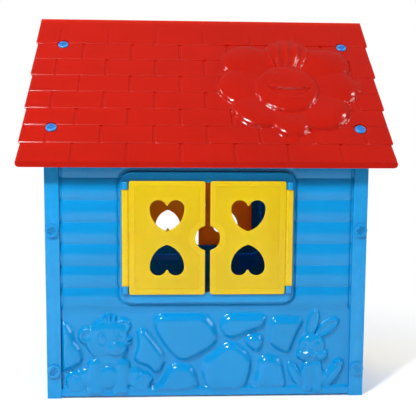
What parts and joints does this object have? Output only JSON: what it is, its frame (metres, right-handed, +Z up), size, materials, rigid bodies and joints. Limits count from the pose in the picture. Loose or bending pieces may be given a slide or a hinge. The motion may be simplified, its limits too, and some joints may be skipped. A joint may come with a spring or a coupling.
{
  "type": "plastic garden playhouse",
  "caption": "Small moulded-plastic playhouse with log-pattern walls, a tiled gable roof, windows with hinged heart shutters and a half door.",
  "frame": {"origin": "on the ground under the middle of the house", "axes": "+Z up; the front wall faces -Y; the doorway gable faces +X; the ridge runs along X"},
  "size_m": [0.996, 0.8856, 1.0597],
  "materials": {
    "blue_plastic": "moulded polyethylene, satin gloss",
    "red_plastic": "moulded polyethylene, satin gloss",
    "yellow_plastic": "moulded polyethylene, satin gloss",
    "bolt_plastic": "moulded polypropylene, glossy",
    "nut_plastic": "moulded nylon, matte"
  },
  "bodies": {
    "house": {"front_wall": "blue_plastic", "back_wall": "blue_plastic", "gable_right": "blue_plastic", "gable_left": "blue_plastic", "roof_front": "red_plastic", "roof_back": "red_plastic", "wall_bolt_front_left_low": "bolt_plastic", "wall_bolt_front_left_high": "bolt_plastic", "wall_bolt_front_right_low": "bolt_plastic", "wall_bolt_front_right_high": "bolt_plastic", "wall_bolt_back_left_low": "bolt_plastic", "wall_bolt_back_left_high": "bolt_plastic", "wall_bolt_back_right_low": "bolt_plastic", "wall_bolt_back_right_high": "bolt_plastic", "roof_bolt_front_left_low": "bolt_plastic", "roof_bolt_front_left_high": "bolt_plastic", "roof_bolt_front_right_low": "bolt_plastic", "roof_bolt_front_right_high": "bolt_plastic", "roof_bolt_back_left_low": "bolt_plastic", "roof_bolt_back_left_high": "bolt_plastic", "roof_bolt_back_right_low": "bolt_plastic", "roof_bolt_back_right_high": "bolt_plastic", "wall_nut_front_left_low": "nut_plastic", "wall_nut_front_left_high": "nut_plastic", "wall_nut_front_right_low": "nut_plastic", "wall_nut_front_right_high": "nut_plastic", "wall_nut_back_left_low": "nut_plastic", "wall_nut_back_left_high": "nut_plastic", "wall_nut_back_right_low": "nut_plastic", "wall_nut_back_right_high": "nut_plastic"},
    "shutter_front_left": {"shutter_front_left": "yellow_plastic"},
    "shutter_front_right": {"shutter_front_right": "yellow_plastic"},
    "shutter_back_left": {"shutter_back_left": "yellow_plastic"},
    "shutter_back_right": {"shutter_back_right": "yellow_plastic"},
    "half_door": {"half_door": "yellow_plastic"}
  },
  "joints": [
    {"name": "shutter_front_left_hinge", "type": "hinge", "parent": "house", "child": "shutter_front_left", "pos_m": [-0.219, -0.4125, 0.44], "axis": [0, 0, -1], "range_deg": [0, 170]},
    {"name": "shutter_front_right_hinge", "type": "hinge", "parent": "house", "child": "shutter_front_right", "pos_m": [0.219, -0.4125, 0.44], "axis": [0, 0, 1], "range_deg": [0, 170]},
    {"name": "shutter_back_left_hinge", "type": "hinge", "parent": "house", "child": "shutter_back_left", "pos_m": [-0.219, 0.4125, 0.44], "axis": [0, 0, 1], "range_deg": [0, 170]},
    {"name": "shutter_back_right_hinge", "type": "hinge", "parent": "house", "child": "shutter_back_right", "pos_m": [0.219, 0.4125, 0.44], "axis": [0, 0, -1], "range_deg": [0, 170]},
    {"name": "half_door_hinge", "type": "hinge", "parent": "house", "child": "half_door", "pos_m": [0.439, -0.1795, 0.265], "axis": [0, 0, -1], "range_deg": [0, 160]}
  ]
}
